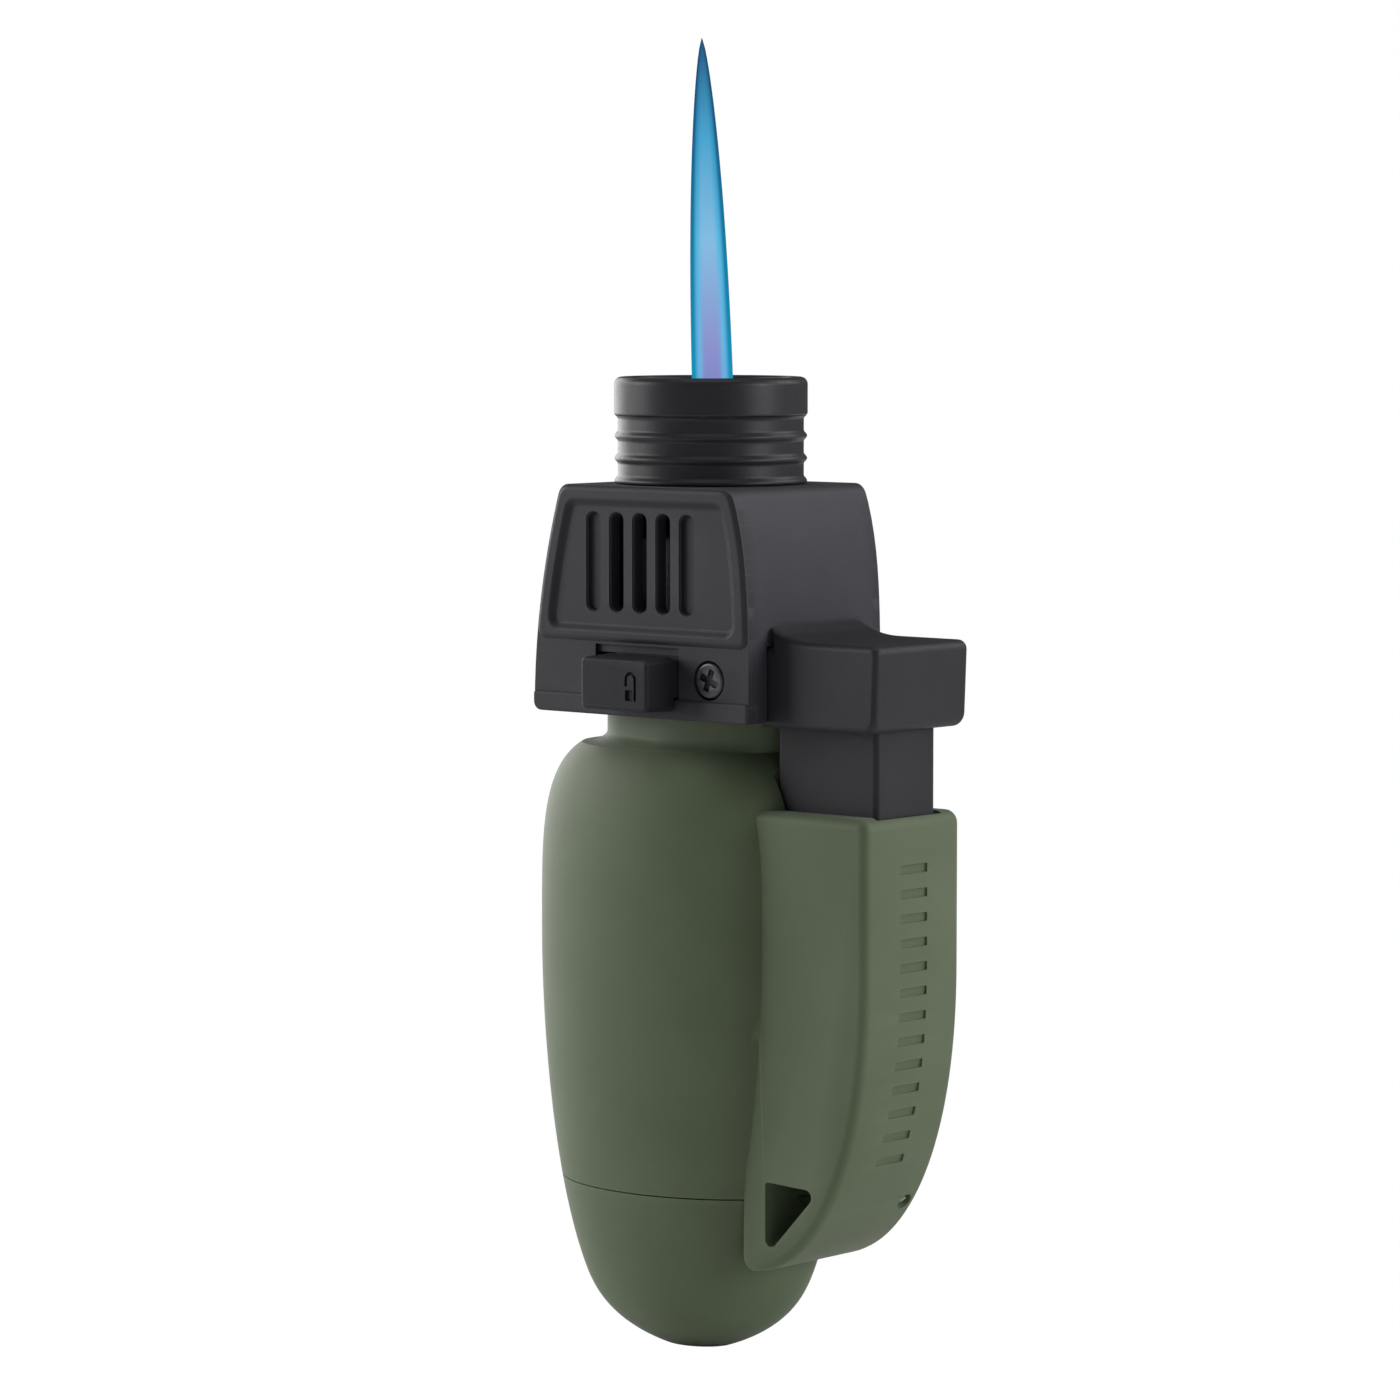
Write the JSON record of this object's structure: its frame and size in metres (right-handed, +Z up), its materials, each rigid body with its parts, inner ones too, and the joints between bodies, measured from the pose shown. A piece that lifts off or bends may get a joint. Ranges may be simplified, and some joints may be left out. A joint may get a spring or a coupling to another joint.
{
  "type": "windproof jet flame lighter",
  "caption": "Oval olive pocket jet lighter with a ribbed black nozzle, slotted head, lock slider and a thumb trigger in a curved side housing.",
  "frame": {"origin": "under the middle of the whole object's bounding box, on the flat foot of the tank", "axes": "+Z up from the tank's foot to the nozzle rim; +X from the tank towards the thumb trigger; Y across the thickness, with the lock slider on the -Y side"},
  "size_m": [0.0472, 0.0284, 0.0992],
  "materials": {
    "green_polymer": "soft-touch matte olive green moulding",
    "black_polymer": "satin charcoal moulding",
    "black_coated_zinc": "satin black coating on die-cast zinc",
    "brass": "turned brass",
    "steel": "bright spring and sheet steel",
    "dark_steel": "blackened steel",
    "ceramic": "off-white alumina",
    "rubber": "black nitrile",
    "silicone": "translucent white silicone",
    "white_polymer": "white acetal",
    "wire_sleeve": "red wire insulation"
  },
  "bodies": {
    "lighter_body": {"burner_bracket": "steel", "burner_tube": "dark_steel", "cover_screw_front": "dark_steel", "cover_screw_rear": "dark_steel", "electrode": "steel", "feed_tube": "silicone", "fill_valve_body": "brass", "fill_valve_o_ring": "rubber", "fill_valve_spring": "steel", "flame_holder": "ceramic", "gas_tube": "silicone", "gas_valve_body": "brass", "gas_valve_o_ring": "rubber", "gas_valve_spring": "steel", "head_frame": "black_polymer", "ignition_lead": "wire_sleeve", "insulator": "ceramic", "jet_nozzle": "brass", "lanyard_pin": "steel", "lever_pin": "steel", "lock_detent_spring": "steel", "nozzle_shield": "black_coated_zinc", "piezo_case": "white_polymer", "piezo_contact": "brass", "piezo_crystal": "ceramic", "piezo_impact_spring": "steel", "piezo_return_spring": "steel", "regulator_housing": "brass", "side_cover_front": "black_polymer", "side_cover_rear": "black_polymer", "tank_base": "green_polymer", "tank_shell": "green_polymer"},
    "trigger_body": {"trigger": "black_polymer", "piezo_plunger": "black_polymer"},
    "lock_body": {"lock_slider": "black_polymer"},
    "lever_body": {"valve_lever": "steel"},
    "valve_stem_body": {"gas_valve_stem": "brass"},
    "hammer_body": {"piezo_hammer": "steel"},
    "adjuster_body": {"flame_adjuster": "black_polymer"},
    "fill_stem_body": {"fill_valve_stem": "brass"}
  },
  "joints": [
    {"name": "trigger_press", "type": "slide", "parent": "lighter_body", "child": "trigger_body", "axis": [0, 0, -1], "range_m": [0, 0.005], "stiffness_N_per_m": 2500, "springref_m": -0.003, "deforming": ["piezo_return_spring", "piezo_impact_spring"]},
    {"name": "valve_lever_turn", "type": "hinge", "parent": "lighter_body", "child": "lever_body", "pos_m": [0.00022, 0, 0.07055], "axis": [0, 1, 0], "range_deg": [0, 10]},
    {"name": "valve_stem_lift", "type": "slide", "parent": "lighter_body", "child": "valve_stem_body", "axis": [0, 0, 1], "range_m": [0, 0.00085], "deforming": ["gas_valve_spring", "gas_tube"]},
    {"name": "hammer_strike", "type": "slide", "parent": "lighter_body", "child": "hammer_body", "axis": [0, 0, -1], "range_m": [0, 0.0032], "stiffness_N_per_m": 150},
    {"name": "lock_slide", "type": "slide", "parent": "lighter_body", "child": "lock_body", "axis": [-1, 0, 0], "range_m": [0, 0.002]},
    {"name": "flame_adjust", "type": "hinge", "parent": "lighter_body", "child": "adjuster_body", "pos_m": [-0.00583, 0, 0.00015], "axis": [0, 0, 1], "range_deg": [-135, 135]},
    {"name": "fill_valve_press", "type": "slide", "parent": "lighter_body", "child": "fill_stem_body", "axis": [0, 0, 1], "range_m": [0, 0.0012], "stiffness_N_per_m": 100, "deforming": ["fill_valve_spring"]}
  ],
  "couplings": [
    {"joint": "valve_lever_turn", "follows": "trigger_press", "rad_per_m": 34.8},
    {"joint": "valve_stem_lift", "follows": "trigger_press", "ratio": 0.16}
  ]
}
